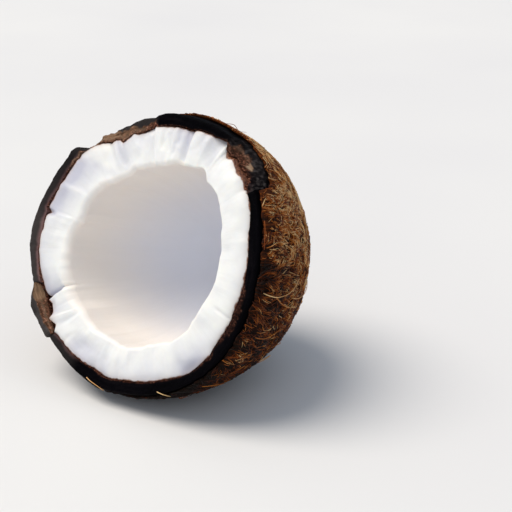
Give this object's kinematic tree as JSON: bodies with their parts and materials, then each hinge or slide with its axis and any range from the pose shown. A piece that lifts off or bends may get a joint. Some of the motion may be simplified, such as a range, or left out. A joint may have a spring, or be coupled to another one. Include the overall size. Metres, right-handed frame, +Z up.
{
  "type": "halved coconut",
  "caption": "Half of a coconut, cut across: an open bowl of thick white flesh in a hard dark shell with a fibre coat, lying on its side.",
  "frame": {"origin": "on the ground, under the middle of the box that holds the half", "axes": "+Z up. The cut face looks to -Y and is tilted 23 degrees upwards; +X is to the right of a person who faces the cut, and the rounded back points to +Y"},
  "size_m": [0.1106, 0.0922, 0.1005],
  "materials": {
    "coconut_flesh": "satin",
    "coconut_shell": "satin",
    "broken_shell": "matte",
    "coir": "matte"
  },
  "bodies": {
    "root": {"flesh": "coconut_flesh", "shell": "coconut_shell", "shell_chip": "broken_shell", "fibre_coat": "coir"}
  },
  "joints": []
}
